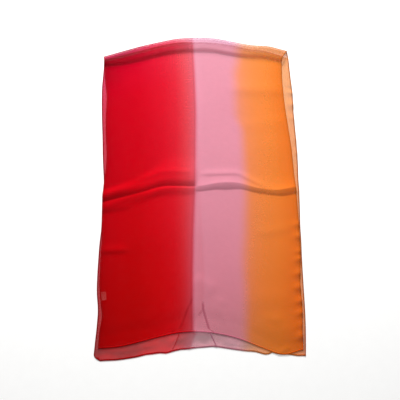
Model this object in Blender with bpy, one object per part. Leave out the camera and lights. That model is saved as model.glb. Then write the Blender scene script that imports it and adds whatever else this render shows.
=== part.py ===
"""Georgette scarf, folded once across its length and laid flat.

One long rectangle of sheer crepe, 1600 x 495 mm with its four edges rolled, lies folded in half:
the back half on the surface, the front half on top of it, and a soft roll where the cloth turns.
Metres, +Z up, the fold towards +Y, the free ends towards -Y, the origin under the middle.

Every point of the cloth has a share across (0 at the left side, 1 at the right) and a share
along (0 at the fold, 1 at the free end). The tables give the outline and the folds at a few
such stations, and smooth curves run between them.
"""
import math
from collections import namedtuple

import bmesh
import bpy
import numpy as np
from mathutils import Vector

# ---------------------------------------------------------------- driving dimensions
CUT_WIDTH = 0.4953
CUT_LENGTH = 1.6002
HALF_LENGTH = CUT_LENGTH / 2

WALL = 0.0010               # the cloth's wall
SEAM_GAP = 0.0003           # between neighbouring pieces
HEM_WIDTH = 0.0030          # rolled hem, across
HEM_THICKNESS = 0.0014      # rolled hem, through
LAYER_RISE = 0.0023         # middle of the back half's wall to the middle of the front half's

BACK_LEVEL = WALL / 2
FRONT_LEVEL = BACK_LEVEL + LAYER_RISE
ROLL_HEIGHT = 0.0130        # top of the roll at the fold, above the surface
ROLL_AT_SIDES = 0.55        # share of the roll's swell that is left at its two ends
ROLL_END_SHARE = 0.15       # share of the width over which the roll grows from its ends

CREASE_VALLEY = 0.0042      # how high the cloth stands beside the left half's cross crease
CREASE_VALLEY_REACH = 0.022
CREASE_RIDGE = 0.0062       # how high the right half's cross crease stands
CREASE_RIDGE_REACH = 0.026
CREASE_TURNS_BEFORE = 0.012     # where trough turns to ridge: from this far left of the lengthwise
CREASE_TURNS_AFTER = 0.030      # crease to this far right of it
CENTRE_RIDGE = 0.0012       # the lengthwise crease
CENTRE_RIDGE_REACH = 0.006
FLAT_BY_FOOT = 0.06         # the share along over which the relief grows from the roll's foot

TUCK_HEIGHT = 0.0008        # the wedge-shaped tuck in the back half's free end
TUCK_START = 0.860          # share along where its point lies
TUCK_FULL = 0.900           # share along where it reaches its height
TUCK_MIDDLE = -0.004        # left-to-right place of its middle line
TUCK_TIP = 0.010            # half its width at the point and at the free end
TUCK_MOUTH = 0.053
TUCK_SLOPE = 0.008          # width of its soft sides

LABEL_WIDTH = 0.0120
LABEL_LENGTH = 0.0210
LABEL_THICKNESS = 0.0006
LABEL_ALONG = 0.839         # where the middle of the label lies, as a share of the front half

# ---------------------------------------------------------------- outline and fold stations
# Down the sides: where each side edge and the lengthwise crease lie, left to right.
Side = namedtuple("Side", "along back_left back_right front_left front_right centre")
SIDES = [
    Side(0.000, -0.2565, 0.2397, -0.2565, 0.2397, -0.0185),
    Side(0.025, -0.2551, 0.2417, -0.2500, 0.2270, -0.0170),
    Side(0.075, -0.2537, 0.2453, -0.2480, 0.2230, -0.0155),
    Side(0.150, -0.2555, 0.2488, -0.2444, 0.2255, -0.0135),
    Side(0.225, -0.2533, 0.2492, -0.2426, 0.2305, -0.0127),
    Side(0.300, -0.2499, 0.2521, -0.2405, 0.2355, -0.0134),
    Side(0.400, -0.2429, 0.2540, -0.2382, 0.2410, -0.0140),
    Side(0.500, -0.2425, 0.2557, -0.2405, 0.2467, -0.0150),
    Side(0.600, -0.2423, 0.2553, -0.2416, 0.2505, -0.0168),
    Side(0.700, -0.2467, 0.2550, -0.2414, 0.2508, -0.0175),
    Side(0.800, -0.2475, 0.2562, -0.2410, 0.2486, -0.0175),
    Side(0.900, -0.2424, 0.2560, -0.2351, 0.2490, -0.0165),
    Side(1.000, -0.2440, 0.2545, -0.2350, 0.2475, -0.0155),
]

# Across the cloth: the fold's edge, how far back from it the roll's top and foot lie, the cross
# crease as a share along, and the two free ends.
Cross = namedtuple("Cross", "across fold roll_top roll_foot crease front_end back_end")
CROSSES = [
    Cross(0.0, 0.3710, 0.0150, 0.0230, 0.5185, -0.4023, -0.4261),
    Cross(0.1, 0.3879, 0.0245, 0.0365, 0.5194, -0.3986, -0.4291),
    Cross(0.2, 0.4034, 0.0220, 0.0407, 0.5218, -0.3871, -0.4226),
    Cross(0.3, 0.4159, 0.0190, 0.0409, 0.5168, -0.3741, -0.4121),
    Cross(0.4, 0.4264, 0.0185, 0.0425, 0.5283, -0.3656, -0.4061),
    Cross(0.5, 0.4282, 0.0205, 0.0402, 0.5346, -0.3636, -0.4001),
    Cross(0.6, 0.4259, 0.0225, 0.0394, 0.5211, -0.3676, -0.4006),
    Cross(0.7, 0.4154, 0.0190, 0.0394, 0.5033, -0.3796, -0.4066),
    Cross(0.8, 0.4059, 0.0215, 0.0367, 0.5040, -0.4001, -0.4146),
    Cross(0.9, 0.4004, 0.0235, 0.0350, 0.4983, -0.4148, -0.4166),
    Cross(1.0, 0.3871, 0.0220, 0.0320, 0.4890, -0.4058, -0.4174),
]

# The roll's section, from the surface round the fold's edge, over the top and down to its foot:
# the way back from the edge to the top, the way on from the top to the foot, the rise from the
# back half's level to the front half's, and the swell of the roll above that.
Turn = namedtuple("Turn", "to_top to_foot layer swell")
TURNS = [
    Turn(1.00, 1.00, 0.00, 0.00),
    Turn(1.00, 0.00, 0.00, 0.00),
    Turn(0.55, 0.00, 0.00, 0.00),
    Turn(0.22, 0.00, 0.00, 0.00),
    Turn(0.05, 0.00, 0.30, 0.00),
    Turn(0.00, 0.00, 0.80, 0.02),
    Turn(0.07, 0.00, 1.00, 0.16),
    Turn(0.32, 0.00, 1.00, 0.42),
    Turn(0.68, 0.00, 1.00, 0.78),
    Turn(1.00, 0.00, 1.00, 0.96),
    Turn(1.00, 0.30, 1.00, 0.78),
    Turn(1.00, 0.70, 1.00, 0.24),
    Turn(1.00, 1.00, 1.00, 0.00),
]

LEAVES_BACK = 0.30          # the share round the roll where its sides leave the back half's edges
JOINS_FRONT = 0.50          # and where they have reached the front half's

# Puckers where a stitched edge draws the cloth in, and the soft dents and rises of the front half.
Pucker = namedtuple("Pucker", "along height reach")
BACK_PUCKERS = [
    Pucker(0.141, 0.0022, 0.0085),
    Pucker(0.173, 0.0024, 0.0085),
    Pucker(0.215, 0.0028, 0.0110),
]
FRONT_PUCKERS = [
    Pucker(0.656, 0.0018, 0.0100),
    Pucker(0.692, 0.0020, 0.0100),
    Pucker(0.757, 0.0022, 0.0110),
    Pucker(0.796, 0.0020, 0.0095),
    Pucker(0.833, 0.0020, 0.0100),
    Pucker(0.870, 0.0022, 0.0095),
    Pucker(0.900, 0.0018, 0.0085),
    Pucker(0.952, 0.0028, 0.0140),
]
PUCKER_DEPTH = 0.020        # how far a pucker runs in from the hem
BARE_FROM = 0.001           # the back half's puckers start this far outside the front half's edge
BARE_FULL = 0.008           # and are full this far outside it

Rise = namedtuple("Rise", "across along height wide long")
RISES = [
    Rise(0.03, 0.702, 0.0030, 0.030, 0.012),
    Rise(0.94, 0.985, 0.0032, 0.040, 0.010),
    Rise(0.84, 0.915, 0.0028, 0.040, 0.022),
    Rise(0.27, 0.600, 0.0026, 0.070, 0.016),
    Rise(0.86, 0.120, 0.0024, 0.024, 0.030),
]

# ---------------------------------------------------------------- how finely each piece is divided
Run = namedtuple("Run", "start end steps")
COLUMNS = [Run(0.00, 0.42, 7), Run(0.42, 0.50, 5), Run(0.50, 0.90, 7), Run(0.90, 1.00, 5)]
BACK_ROWS = [Run(0.00, 0.08, 1), Run(0.08, 0.22, 16), Run(0.22, 0.85, 6), Run(0.85, 1.00, 4)]
ROLL_ROWS = [Run(0.00, 0.30, 3), Run(0.30, 0.60, 9), Run(0.60, 1.00, 7)]
FRONT_ROWS = [Run(0.00, 0.40, 6), Run(0.40, 0.60, 10), Run(0.60, 0.95, 24), Run(0.95, 1.00, 2)]
LABEL_ROWS = [Run(0.00, 1.00, 4)]
LABEL_COLUMNS = [Run(0.00, 1.00, 3)]
HEM_CORNERS = 6

# ---------------------------------------------------------------- colours
GEORGETTE_RED = (0.560, 0.012, 0.030, 1.0)
GEORGETTE_PINK = (0.700, 0.260, 0.330, 1.0)
HEM_RED = (0.300, 0.010, 0.020, 1.0)
HEM_ORANGE = (0.560, 0.120, 0.030, 1.0)
HEM_PINK = (0.450, 0.090, 0.120, 1.0)
LABEL_CREAM = (0.780, 0.620, 0.600, 1.0)
CLOTH_ROUGHNESS = 0.80
LABEL_ROUGHNESS = 0.60


# ---------------------------------------------------------------- curves and the cloth's surface
def column(table, name):
    """One named column of a table, as an array."""
    return np.array([getattr(row, name) for row in table])


def smooth(stations, values, at):
    """Read a smooth curve through the stations' values at one place."""
    slopes = np.gradient(values, stations)
    cell = int(np.clip(np.searchsorted(stations, at) - 1, 0, len(stations) - 2))
    gap = stations[cell + 1] - stations[cell]
    t = (at - stations[cell]) / gap
    start = values[cell] * (1 + 2 * t) + slopes[cell] * gap * t
    end = values[cell + 1] * (3 - 2 * t) + slopes[cell + 1] * gap * (t - 1)
    return float(start * (1 - t) ** 2 + end * t ** 2)


def side(name, along):
    """Left-to-right place of a side edge or of the lengthwise crease."""
    return smooth(column(SIDES, "along"), column(SIDES, name), along)


def cross(name, across):
    """A value of the cross table at a share across."""
    return smooth(column(CROSSES, "across"), column(CROSSES, name), across)


def blend(low, high, share):
    return low + (high - low) * share


def soft_step(low, high, value):
    """0 below low, 1 above high, with a smooth rise between."""
    share = min(max((value - low) / (high - low), 0.0), 1.0)
    return share * share * (3 - 2 * share)


def bump(distance, reach):
    """A soft rise of height 1 that dies away over its reach."""
    return math.exp(-(distance / reach) ** 2)


def plan(half, across, along):
    """Where a point of one half lies on the surface, seen from above."""
    x = blend(side(half + "_left", along), side(half + "_right", along), across)
    y = blend(cross("fold", across), cross(half + "_end", across), along)
    return x, y


def half_length(half, across):
    """How long one half runs from the fold to its free end."""
    return cross("fold", across) - cross(half + "_end", across)


def crease_relief(across, along, x):
    """The cross crease: a trough with raised sides on the left, a standing ridge on the right."""
    off_line = abs(along - cross("crease", across)) * HALF_LENGTH
    valley_way = off_line / CREASE_VALLEY_REACH
    valley = CREASE_VALLEY * valley_way * math.exp(1 - valley_way)
    ridge = CREASE_RIDGE * math.exp(-off_line / CREASE_RIDGE_REACH)
    centre = side("centre", along)
    turned = soft_step(centre - CREASE_TURNS_BEFORE, centre + CREASE_TURNS_AFTER, x)
    return blend(valley, ridge, turned)


def pucker_relief(puckers, across, along):
    """Short waves that run in from the right-hand hem."""
    waves = sum(p.height * bump((along - p.along) * HALF_LENGTH, p.reach) for p in puckers)
    return waves * bump((1 - across) * CUT_WIDTH, PUCKER_DEPTH)


def front_relief(across, along):
    """How far the front half stands above its resting level."""
    x, _ = plan("front", across, along)
    relief = crease_relief(across, along, x)
    relief += CENTRE_RIDGE * math.exp(-abs(x - side("centre", along)) / CENTRE_RIDGE_REACH)
    relief += pucker_relief(FRONT_PUCKERS, across, along)
    for rise in RISES:
        wide = bump((across - rise.across) * CUT_WIDTH, rise.wide)
        relief += rise.height * wide * bump((along - rise.along) * HALF_LENGTH, rise.long)
    foot = cross("roll_foot", across) / half_length("front", across)
    return relief * soft_step(foot, foot + FLAT_BY_FOOT, along)


def back_relief(across, along):
    """How far the back half stands off the surface: edge puckers beside the front half, and a
    wedge-shaped tuck that opens towards the free end."""
    x, _ = plan("back", across, along)
    front_edge = side("front_right", along)
    bare = soft_step(front_edge + BARE_FROM, front_edge + BARE_FULL, x)
    opening = soft_step(TUCK_START, 1.0, along)
    half_wide = blend(TUCK_TIP, TUCK_MOUTH, opening)
    inside_tuck = 1 - soft_step(half_wide, half_wide + TUCK_SLOPE, abs(x - TUCK_MIDDLE))
    tuck = TUCK_HEIGHT * inside_tuck * soft_step(TUCK_START, TUCK_FULL, along)
    return pucker_relief(BACK_PUCKERS, across, along) * bare + tuck


def back_point(across, along):
    """A point of the middle of the back half's wall."""
    x, y = plan("back", across, along)
    return Vector((x, y, BACK_LEVEL + back_relief(across, along)))


def front_point(across, along):
    """A point of the middle of the front half's wall."""
    x, y = plan("front", across, along)
    return Vector((x, y, FRONT_LEVEL + front_relief(across, along)))


def roll_point(across, way):
    """A point of the middle of the roll's wall; way runs from the back half round to the front."""
    steps = np.arange(len(TURNS)) / (len(TURNS) - 1)
    to_top = smooth(steps, column(TURNS, "to_top"), way)
    to_foot = smooth(steps, column(TURNS, "to_foot"), way)
    layer = max(smooth(steps, column(TURNS, "layer"), way), 0.0)
    swell = max(smooth(steps, column(TURNS, "swell"), way), 0.0)
    top = cross("roll_top", across)
    foot = cross("roll_foot", across)
    back = top * to_top + (foot - top) * to_foot
    turned = soft_step(LEAVES_BACK, JOINS_FRONT, way)
    behind = plan("back", across, back / half_length("back", across))
    ahead = plan("front", across, back / half_length("front", across))
    x = blend(behind[0], ahead[0], turned)
    y = blend(behind[1], ahead[1], turned)
    full = blend(ROLL_AT_SIDES, 1.0, soft_step(0.0, ROLL_END_SHARE, min(across, 1 - across)))
    swelling = (ROLL_HEIGHT - FRONT_LEVEL) * full * swell
    return Vector((x, y, BACK_LEVEL + LAYER_RISE * layer + swelling))


# ---------------------------------------------------------------- building the pieces
def divisions(runs):
    """The shares at which a piece is divided, from its runs of even steps."""
    shares = [runs[0].start]
    for run in runs:
        shares += [blend(run.start, run.end, (step + 1) / run.steps) for step in range(run.steps)]
    return shares


def cloth(name, colour, roughness):
    """A material of one colour."""
    material = bpy.data.materials.new(name)
    material.use_nodes = True
    shader = material.node_tree.nodes["Principled BSDF"]
    shader.inputs["Base Color"].default_value = colour
    shader.inputs["Roughness"].default_value = roughness
    shader.inputs["Metallic"].default_value = 0.0
    return material


def keep(name, mesh, material):
    """Turn a finished bmesh into a named object with its material."""
    for face in mesh.faces:
        face.smooth = True
    data = bpy.data.meshes.new(name)
    mesh.to_mesh(data)
    mesh.free()
    data.materials.append(material)
    piece = bpy.data.objects.new(name, data)
    bpy.context.scene.collection.objects.link(piece)
    return piece


def grid(columns, rows, place):
    """A grid whose points are placed by their column and row; its far edge is the first row."""
    mesh = bmesh.new()
    bmesh.ops.create_grid(mesh, x_segments=len(columns) - 1, y_segments=len(rows) - 1, size=0.5)
    for vertex in mesh.verts:
        step_x = round((vertex.co.x + 0.5) * (len(columns) - 1))
        step_y = round((0.5 - vertex.co.y) * (len(rows) - 1))
        vertex.co = place(columns[step_x], rows[step_y])
    return mesh


def panel(name, material, columns, rows, place, thickness=WALL):
    """A stretch of cloth: the middle of its wall as a grid, thickened to both sides."""
    piece = keep(name, grid(columns, rows, place), material)
    wall = piece.modifiers.new("Wall", "SOLIDIFY")
    wall.thickness = thickness
    wall.offset = 0.0
    wall.use_even_offset = True
    return piece


def inside_hems(across):
    """A share of the panel's width, as a share of the width with its hems."""
    inset = (HEM_WIDTH + SEAM_GAP) / CUT_WIDTH
    return blend(inset, 1 - inset, across)


def inside_half(half, across, along):
    """A share along the panel, between the roll's foot and the end hem, as a share of the half."""
    start = (cross("roll_foot", across) + SEAM_GAP) / half_length(half, across)
    end = 1 - (HEM_WIDTH + SEAM_GAP) / half_length(half, across)
    return blend(start, end, along)


def along_with_crease(across, along):
    """Bend the front half's rows so that the middle one follows the cross crease."""
    crease = cross("crease", across)
    if along < 0.5:
        return blend(inside_half("front", across, 0.0), crease, along / 0.5)
    return blend(crease, inside_half("front", across, 1.0), (along - 0.5) / 0.5)


def place_back(across, along):
    across = inside_hems(across)
    return back_point(across, inside_half("back", across, along))


def place_front(across, along):
    across = inside_hems(across)
    return front_point(across, along_with_crease(across, along))


def place_roll(across, way):
    return roll_point(inside_hems(across), way)


def place_label(across, along):
    """The label hangs from the left hem, under the front half, and follows its wall."""
    left = inside_hems(0.0)
    label_across = blend(left, left + LABEL_WIDTH / CUT_WIDTH, across)
    label_along = LABEL_ALONG + blend(-0.5, 0.5, along) * LABEL_LENGTH / HALF_LENGTH
    point = front_point(label_across, label_along)
    return point - Vector((0.0, 0.0, WALL / 2 + SEAM_GAP + LABEL_THICKNESS / 2))


def rolled_hem(name, material, path, outward):
    """An oval bead carried along a path, its broad side lying the way the cloth lies."""
    rings = []
    for index, point in enumerate(path):
        before = path[max(index - 1, 0)]
        after = path[min(index + 1, len(path) - 1)]
        run = (after - before).normalized()
        aside = (outward - run * outward.dot(run)).normalized()
        rings.append((point, aside, run.cross(aside)))

    def place(corner, step):
        point, aside, through = rings[step]
        angle = 2 * math.pi * corner / HEM_CORNERS
        wide = HEM_WIDTH / 2 * math.cos(angle)
        thick = HEM_THICKNESS / 2 * math.sin(angle) / math.sin(2 * math.pi / HEM_CORNERS)
        return point + aside * wide + through * thick

    mesh = grid(range(HEM_CORNERS + 1), range(len(path)), place)
    bmesh.ops.remove_doubles(mesh, verts=mesh.verts, dist=0.00001)
    bmesh.ops.holes_fill(mesh, edges=[edge for edge in mesh.edges if edge.is_boundary])
    bmesh.ops.recalc_face_normals(mesh, faces=mesh.faces)
    return keep(name, mesh, material)


def off_the_surface(point):
    """A bead is thicker than the wall: raise its middle where it would reach under the surface."""
    return Vector((point.x, point.y, max(point.z, HEM_THICKNESS / 2)))


def side_hem(name, material, across, outward):
    """The hem down one side: along the back half, round the roll and back along the front half."""
    back_rows = [inside_half("back", across, share) for share in divisions(BACK_ROWS)]
    front_rows = [along_with_crease(across, share) for share in divisions(FRONT_ROWS)]
    path = [back_point(across, 1.0)]
    path += [back_point(across, along) for along in reversed(back_rows[1:])]
    path += [roll_point(across, way) for way in divisions(ROLL_ROWS)]
    path += [front_point(across, along) for along in front_rows[1:]]
    path.append(front_point(across, 1.0))
    return rolled_hem(name, material, [off_the_surface(point) for point in path], outward)


def end_hem(name, material, half, point_of, columns):
    """The hem of one free end, between the two side hems."""
    path = []
    for share in columns:
        across = inside_hems(share)
        path.append(off_the_surface(point_of(across, 1 - HEM_WIDTH / 2 / half_length(half, across))))
    return rolled_hem(name, material, path, Vector((0.0, -1.0, 0.0)))


def clear_scene():
    for thing in list(bpy.data.objects):
        bpy.data.objects.remove(thing, do_unlink=True)


def build_scarf():
    hem_middle = HEM_WIDTH / 2 / CUT_WIDTH
    columns = divisions(COLUMNS)
    panel("lower_half", cloth("Georgette back half", GEORGETTE_RED, CLOTH_ROUGHNESS),
          columns, divisions(BACK_ROWS), place_back)
    panel("fold_turn", cloth("Georgette fold", GEORGETTE_PINK, CLOTH_ROUGHNESS),
          columns, divisions(ROLL_ROWS), place_roll)
    panel("upper_half", cloth("Georgette front half", GEORGETTE_RED, CLOTH_ROUGHNESS),
          columns, divisions(FRONT_ROWS), place_front)
    panel("care_label", cloth("Label tape", LABEL_CREAM, LABEL_ROUGHNESS),
          divisions(LABEL_COLUMNS), divisions(LABEL_ROWS), place_label, LABEL_THICKNESS)
    side_hem("left_hem", cloth("Left hem", HEM_RED, CLOTH_ROUGHNESS),
             hem_middle, Vector((-1.0, 0.0, 0.0)))
    side_hem("right_hem", cloth("Right hem", HEM_ORANGE, CLOTH_ROUGHNESS),
             1 - hem_middle, Vector((1.0, 0.0, 0.0)))
    end_hem("upper_end_hem", cloth("Front end hem", HEM_PINK, CLOTH_ROUGHNESS),
            "front", front_point, columns)
    end_hem("lower_end_hem", cloth("Back end hem", HEM_PINK, CLOTH_ROUGHNESS),
            "back", back_point, columns)


clear_scene()
build_scarf()
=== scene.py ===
# %% [markdown]
# A georgette scarf, folded once and laid flat
#
# Georgette is a sheer crepe: hard-twisted yarns make a fine, matt, pebbly cloth that you can see
# through. This scarf is one long rectangle, dyed in three bands, with its four edges rolled and
# slip-stitched. It lies folded in half on a table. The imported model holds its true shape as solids;
# we dress them in a thin sheer shell, rolled hems with stitches and a bare label, then add the
# light and the camera. Everything is in metres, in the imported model's own frame.

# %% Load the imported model
import math
from collections import namedtuple
from functools import partial

import bmesh
import bpy
import numpy as np
from mathutils import Matrix, Vector


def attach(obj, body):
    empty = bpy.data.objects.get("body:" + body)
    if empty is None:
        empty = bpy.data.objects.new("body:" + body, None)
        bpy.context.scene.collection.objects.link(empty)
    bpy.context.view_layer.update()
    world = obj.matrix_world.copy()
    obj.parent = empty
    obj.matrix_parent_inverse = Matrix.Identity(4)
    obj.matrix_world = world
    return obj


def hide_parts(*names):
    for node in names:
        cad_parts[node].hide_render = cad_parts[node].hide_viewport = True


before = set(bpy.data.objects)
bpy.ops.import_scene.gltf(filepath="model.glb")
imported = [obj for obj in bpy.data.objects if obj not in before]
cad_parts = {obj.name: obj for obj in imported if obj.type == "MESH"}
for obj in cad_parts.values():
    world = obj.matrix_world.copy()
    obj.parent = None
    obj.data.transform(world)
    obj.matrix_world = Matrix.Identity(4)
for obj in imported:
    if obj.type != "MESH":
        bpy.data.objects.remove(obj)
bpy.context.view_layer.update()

print("solids:", sorted(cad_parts))

# %% [markdown]
# The cut
#
# A maker cuts the panel to 19.5 by 63 inches and rolls every edge by about 3 mm. Folded in half,
# each half is 0.8 m long, but the fold is left as a soft standing roll and the back half reaches a
# little further than the front one.

# %% Sizes of the cut and of the lay
CUT_WIDTH, CUT_LENGTH = 0.4953, 1.6002
HALF_LENGTH = CUT_LENGTH / 2
CLOTH_THICKNESS = 0.00035
HEM_WIDTH, HEM_THICKNESS = 0.0030, 0.0014
BACK_LEVEL = 0.0005             # middle of the back half above the surface, as in its solid
LAYER_RISE = 0.0023             # and of the front half above that
FRONT_LEVEL = BACK_LEVEL + LAYER_RISE
print(f"cut {CUT_WIDTH:.3f} x {CUT_LENGTH:.3f} m, area {CUT_WIDTH * CUT_LENGTH:.3f} square metres")

# %% [markdown]
# The lay of the cloth, as two tables
#
# Any point of a folded scarf can be named by two shares: how far across it lies, from the left
# edge to the right one, and how far along, from the fold to the free end. The first table gives
# the side edges and the lengthwise crease at stations along; the second gives the fold, the roll,
# the cross creases and the free ends at stations across. Smooth curves run between the stations.
# Tables beat thousands of points: a reader can see and change them.

# %% Stations along and across
PERCENT, MM = 100, 1000         # tables hold percents and millimetres, and are divided by these


def table(columns, units, rows):
    """Named rows, in shares and metres; a single unit stands for all the columns after it."""
    kind = namedtuple("Row", columns)
    units = (*units, *[units[-1]] * len(kind._fields))
    return [kind(*(value / unit for value, unit in zip(row, units))) for row in rows]


SIDES = table("along back_left back_right front_left front_right front_crease back_crease",
              (PERCENT, MM), [
    (0, -256.5, 239.7, -256.5, 239.7, -17.5, -18.5),
    (2.5, -255.8, 242.5, -253.5, 227.5, -16, -16.8),
    (7.5, -256.8, 245, -251.7, 223.3, -14, -14),
    (11, -258, 246.8, -248.2, 223.2, -12.7, -12.5),
    (15, -257.5, 249.3, -244.7, 224.7, -11.2, -10.5),
    (22.5, -254.6, 250.5, -244.4, 229.6, -9.2, -7),
    (30, -250.6, 253.4, -242, 236.1, -8, -3),
    (35, -248.4, 255, -238.6, 240.4, -8.2, -1),
    (40, -245.4, 255.8, -238.2, 242.7, -8.6, 1),
    (45, -242.5, 255.4, -241.3, 245, -8.8, 2.1),
    (50, -244.6, 256.1, -243.8, 248.2, -9.2, 3.2),
    (55, -244.1, 255.8, -243.7, 249.9, -10.1, 4.3),
    (60, -244, 255, -243, 251.2, -11.2, 5.6),
    (65, -246.8, 255.8, -241.2, 251.7, -12.3, 7.6),
    (70, -248, 255.7, -242.1, 252.1, -13.5, 9.8),
    (75, -248.7, 256.1, -242.4, 250.4, -14.3, 11.8),
    (80, -247.9, 256.8, -242.5, 248.4, -14.8, 13.2),
    (85, -243.7, 257.6, -238.4, 250.6, -14.7, 11),
    (90, -244.6, 257.7, -233.2, 250.7, -14.3, 7),
    (95, -247.3, 256.6, -237.8, 248.9, -13.9, -6),
    (100, -249.6, 254.8, -239.6, 249.5, -13.5, -21),
])
CROSSES = table("across fold roll_top roll_foot front_crease back_crease front_end back_end",
                (PERCENT, MM, MM, MM, PERCENT, PERCENT, MM), [
    (0, 372, 13, 26, 53, 46.3, -403.5, -430.5),
    (10, 388, 16.5, 38, 52.62, 46.5, -399.5, -430.7),
    (20, 403.2, 18.2, 42.5, 52.62, 46.4, -388.6, -423.8),
    (30, 415.8, 16.8, 42.8, 52.3, 45.3, -376, -414.7),
    (40, 426.5, 17.5, 44, 53.5, 46.4, -366, -408.5),
    (50, 429, 18.5, 41.5, 53.71, 47.3, -364.6, -401.8),
    (60, 427.5, 18.2, 40.8, 52.22, 47.2, -370.2, -402.2),
    (70, 417.8, 15, 40.2, 50.85, 46.3, -382.8, -408.4),
    (80, 407.2, 16.8, 36.8, 50.62, 48.7, -402, -414.6),
    (90, 403.2, 19, 35.5, 50.1, 49.5, -417.2, -416.4),
    (100, 389, 20, 32.5, 48.9, 49.1, -406, -420),
])

# %% Reading smooth curves
def smooth(stations, values, at):
    """A smooth curve through the stations' values, read at many places at once."""
    slopes = np.gradient(values, stations)
    cell = np.clip(np.searchsorted(stations, at) - 1, 0, len(stations) - 2)
    gap = stations[cell + 1] - stations[cell]
    t = (at - stations[cell]) / gap
    start = values[cell] * (1 + 2 * t) + slopes[cell] * gap * t
    end = values[cell + 1] * (3 - 2 * t) + slopes[cell + 1] * gap * (t - 1)
    return start * (1 - t) ** 2 + end * t ** 2


def read(rows, name, at):
    """One named column of a table; its first column holds the stations."""
    stations = np.array([row[0] for row in rows])
    values = np.array([getattr(row, name) for row in rows])
    return smooth(stations, values, np.clip(at, stations[0], stations[-1]))


side, cross = partial(read, SIDES), partial(read, CROSSES)


def blend(low, high, share):
    return low + (high - low) * share


def soft_step(low, high, value):
    """0 below low, 1 above high, with a smooth rise between."""
    share = np.clip((value - low) / (high - low), 0.0, 1.0)
    return share * share * (3 - 2 * share)


def bump(distance, reach):
    """A soft rise of height 1 that dies away over its reach."""
    return np.exp(-(distance / reach) ** 2)


print("the fold lies at y =", round(float(cross("fold", 0.5)), 4), "in the middle")

# %% [markdown]
# Where a point of each half lies
#
# Seen from above, each half is a slightly bent rectangle. The lengthwise crease matters most,
# because the dye changes colour exactly on it. So the grid's columns are squeezed a little to keep
# one of them, CREASE_COLUMN of the way across, on the crease all the way down, and its rows to keep
# one on the cross crease. A crease that runs along the grid's own lines stays crisp; one that cuts
# across them would come out as a saw.

# %% The plan of each half
CREASE_COLUMN = 0.47            # the grid's share across that stays on the lengthwise crease


def half_length(half, across):
    """How long one half runs from the fold to its free end."""
    return cross("fold", across) - cross(half + "_end", across)


def crease_share(half, along):
    """The share across at which the lengthwise crease lies."""
    left, right = side(half + "_left", along), side(half + "_right", along)
    return (side(half + "_crease", along) - left) / (right - left)


def across_of(half, column, along):
    """Squeeze a grid column so that CREASE_COLUMN falls on the lengthwise crease."""
    crease = crease_share(half, along)
    after = blend(crease, 1.0, (column - CREASE_COLUMN) / (1 - CREASE_COLUMN))
    return np.where(column < CREASE_COLUMN, crease * column / CREASE_COLUMN, after)


def column_of(half, across, along):
    """The way back: the grid column of a point."""
    crease = crease_share(half, along)
    after = 1 - (1 - across) / (1 - crease) * (1 - CREASE_COLUMN)
    return np.where(across < crease, across / crease * CREASE_COLUMN, after)


def along_of(half, row, column):
    """Bend the grid's rows: row 0 is the roll's foot, row 0.5 the cross crease, row 1 the end."""
    crease = cross(half + "_crease", column)
    foot = cross("roll_foot", column) / half_length(half, column)
    return np.where(row < 0.5, blend(foot, crease, row / 0.5), blend(crease, 1.0, row / 0.5 - 1))


SOFT_CORNER = 0.014             # radius of the back half's left corner, where the hem turns softly
CORNER_END = 0.5                # how much of that rounding its end edge takes
WAVE_REACH = 0.030              # how far the waves of the back end run in
BACK_END_WAVES = table("across out reach", (PERCENT, MM), [
    (3, 1.4, 12), (24.5, -1.4, 12), (34.3, 3, 10), (41, -1.5, 12), (57, -2, 20), (75.7, -1.6, 12),
    (81, 2.2, 11), (84.3, -3.6, 6), (96, 1.8, 14),
])


def plan(half, across, along):
    """Where a point of one half lies on the surface, seen from above."""
    x = blend(side(half + "_left", along), side(half + "_right", along), across)
    y = blend(cross("fold", across), cross(half + "_end", across), along)
    if half == "back":
        from_end = (1 - along) * HALF_LENGTH
        for wave in BACK_END_WAVES:
            rise = bump((across - wave.across) * CUT_WIDTH, wave.reach)
            y = y - wave.out * rise * bump(from_end, WAVE_REACH)
        side_near = np.clip(1 - across * CUT_WIDTH / SOFT_CORNER, 0.0, 1.0)
        end_near = np.clip(1 - from_end / SOFT_CORNER, 0.0, 1.0)
        x = x + SOFT_CORNER * (1 - np.sqrt(1 - end_near ** 2)) * side_near
        y = y + SOFT_CORNER * (1 - np.sqrt(1 - side_near ** 2)) * end_near * CORNER_END
    return x, y


CLOSING_IN = 8                  # guesses, each closer than the last


def shares_at(half, x, y):
    """The way back from a place on the surface: the two shares of the point that lies there."""
    across = np.full(np.shape(x), 0.5)
    for _ in range(CLOSING_IN):
        along = (cross("fold", across) - y) / half_length(half, across)
        left, right = side(half + "_left", along), side(half + "_right", along)
        across = (x - left) / (right - left)
    return across, along


corner = plan("back", 0.0, 1.0)
print("back half's left corner at", [round(float(value), 4) for value in corner])

# %% [markdown]
# The folds
#
# A scarf that was kept folded in a packet carries pressed creases, one across and one lengthwise,
# on both halves. Here the cross crease is a trough on the left of the front half and a standing
# ridge on the right. A stitched edge that is tighter than its cloth puckers. And the back half has
# a wedge-shaped tuck at its free end that shows through the front half. Each fold is placed one by
# one, in its own size, as a soft ridge (height above 0) or trough (below 0).

# %% The pressed cross crease of the front half
# Where it is a trough between two humps: how far the upper crest lies from the line, how high it
# is and how far on it dies away; the height of the line itself; then the same for the lower hump,
# whose foot is counted from the line.
TROUGHS = table("across up up_height fades line_height down down_height foot", (PERCENT, MM), [
    (0, 16, 5.6, 22, 1, 14, 2.7, 32), (10, 18, 5.6, 22, 1, 9, 2.4, 29),
    (18, 15, 4.2, 34, 1.2, 6.5, 2.1, 34), (26, 15.5, 4.6, 48, 1, 10, 3, 29),
    (34, 19.5, 5.8, 68, 1.2, 5, 3.4, 30), (47, 19, 5.6, 68, 1.2, 5, 2.3, 26),
])
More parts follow.
